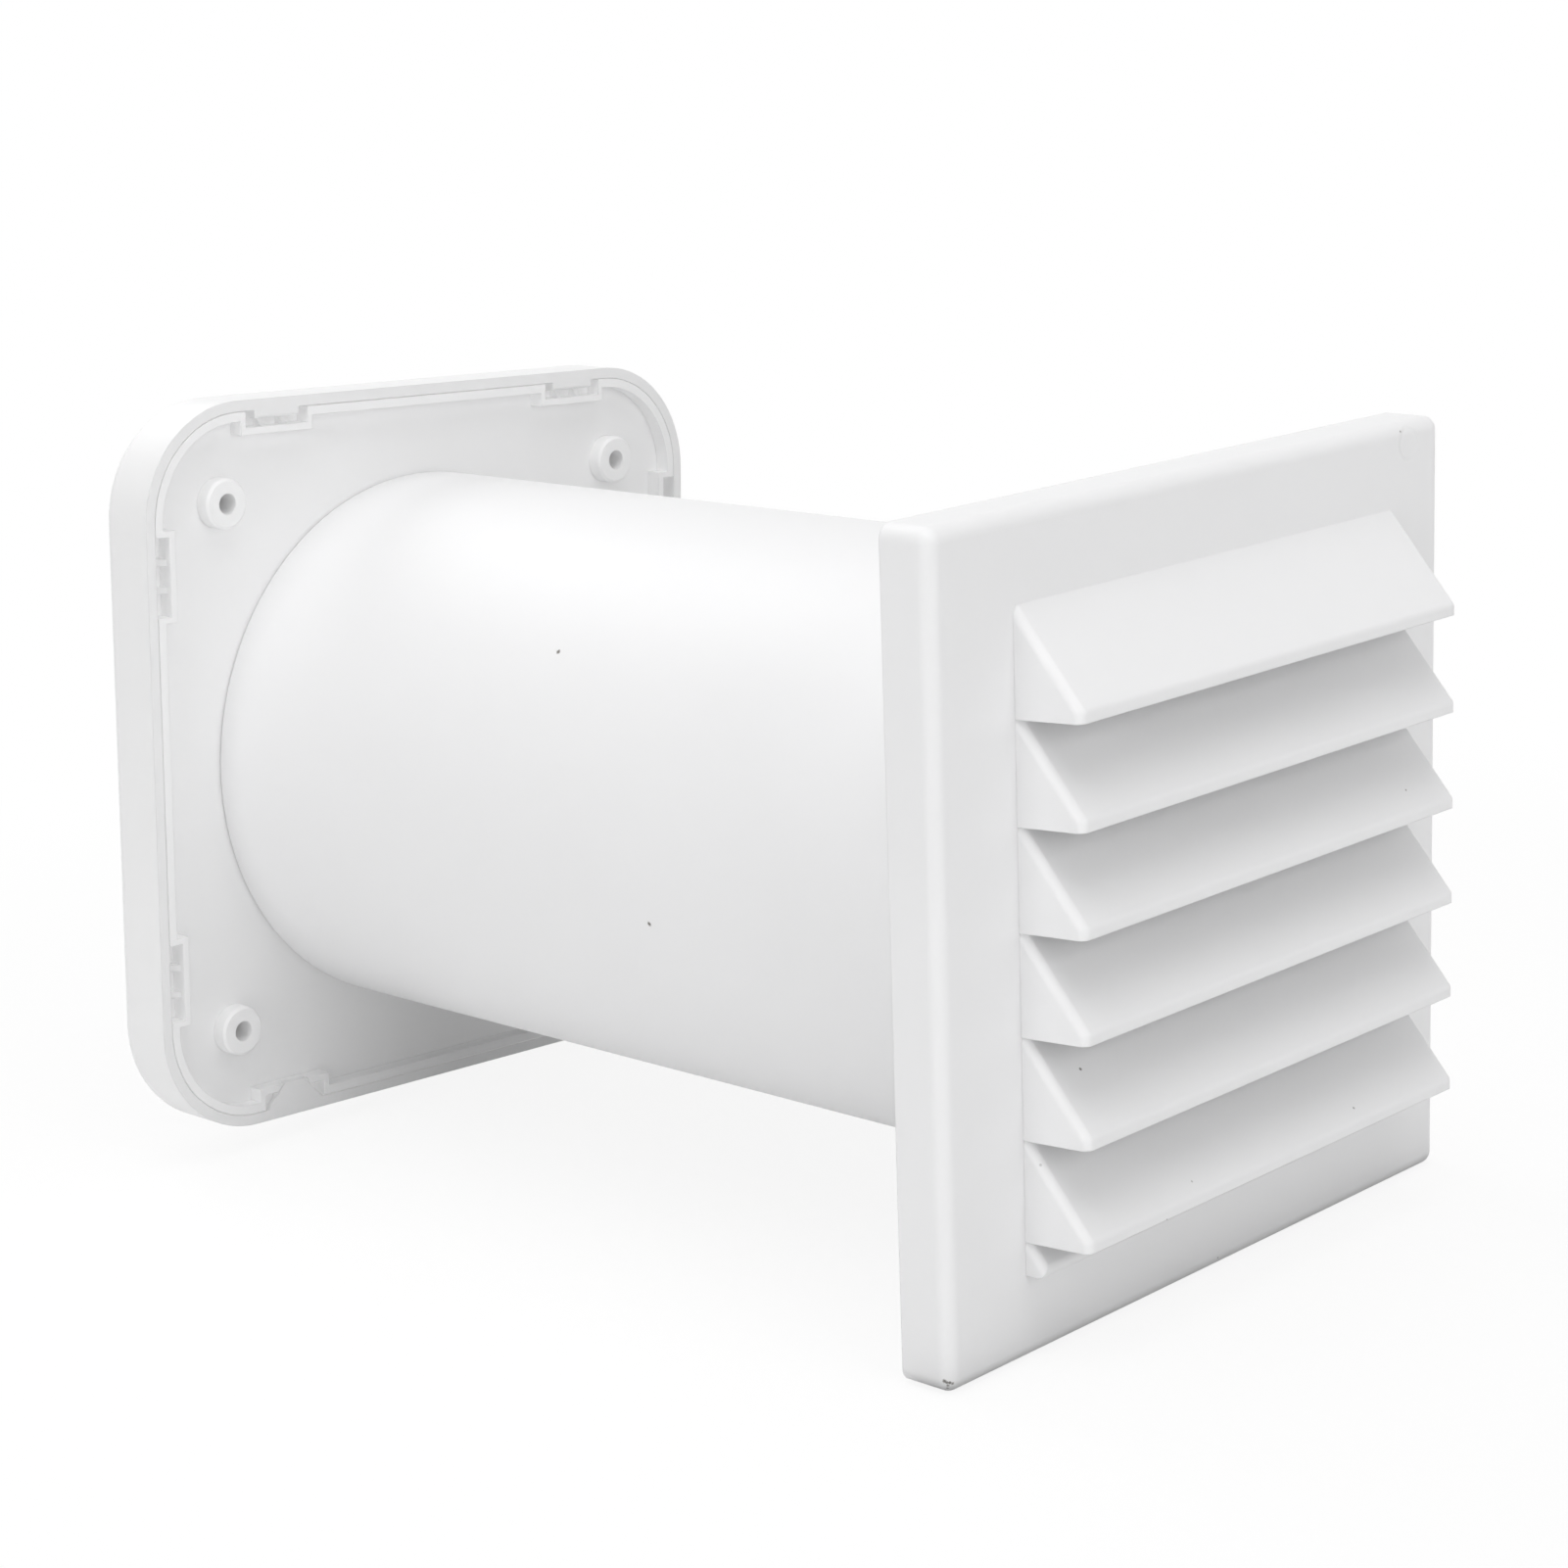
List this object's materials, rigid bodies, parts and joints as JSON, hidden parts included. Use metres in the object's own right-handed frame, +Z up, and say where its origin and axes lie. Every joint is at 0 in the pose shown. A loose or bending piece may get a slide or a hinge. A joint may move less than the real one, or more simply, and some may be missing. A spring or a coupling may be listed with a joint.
{
  "type": "through-wall dryer vent",
  "caption": "Through-wall dryer vent: square louvred outdoor grille, round wall tube with a hanging damper flap, and a room-side wall plate with clip-on cover and hose spigot.",
  "frame": {"origin": "middle of the four wall screws, on the tube's axis, in the plane of the room's wall face", "axes": "+Y along the tube into the room, +Z up, the outdoor grille at -Y"},
  "size_m": [0.1478, 0.2445, 0.1478],
  "materials": {
    "grille_white": "satin moulded white",
    "tube_white": "glossy extruded white",
    "plate_white": "satin moulded white",
    "damper_white": "matt moulded off-white",
    "pin_steel": "drawn stainless wire"
  },
  "bodies": {
    "vent_body": {"louvre_grille": "grille_white", "wall_tube": "tube_white", "wall_plate": "plate_white", "trim_cover": "plate_white", "damper_ring": "damper_white", "flap_pin": "pin_steel"},
    "flap": {"damper_flap": "damper_white"}
  },
  "joints": [
    {"name": "flap_hinge", "type": "hinge", "parent": "vent_body", "child": "flap", "pos_m": [0, -0.02725, 0.0459], "axis": [-1, 0, 0], "range_deg": [0, 50]}
  ]
}
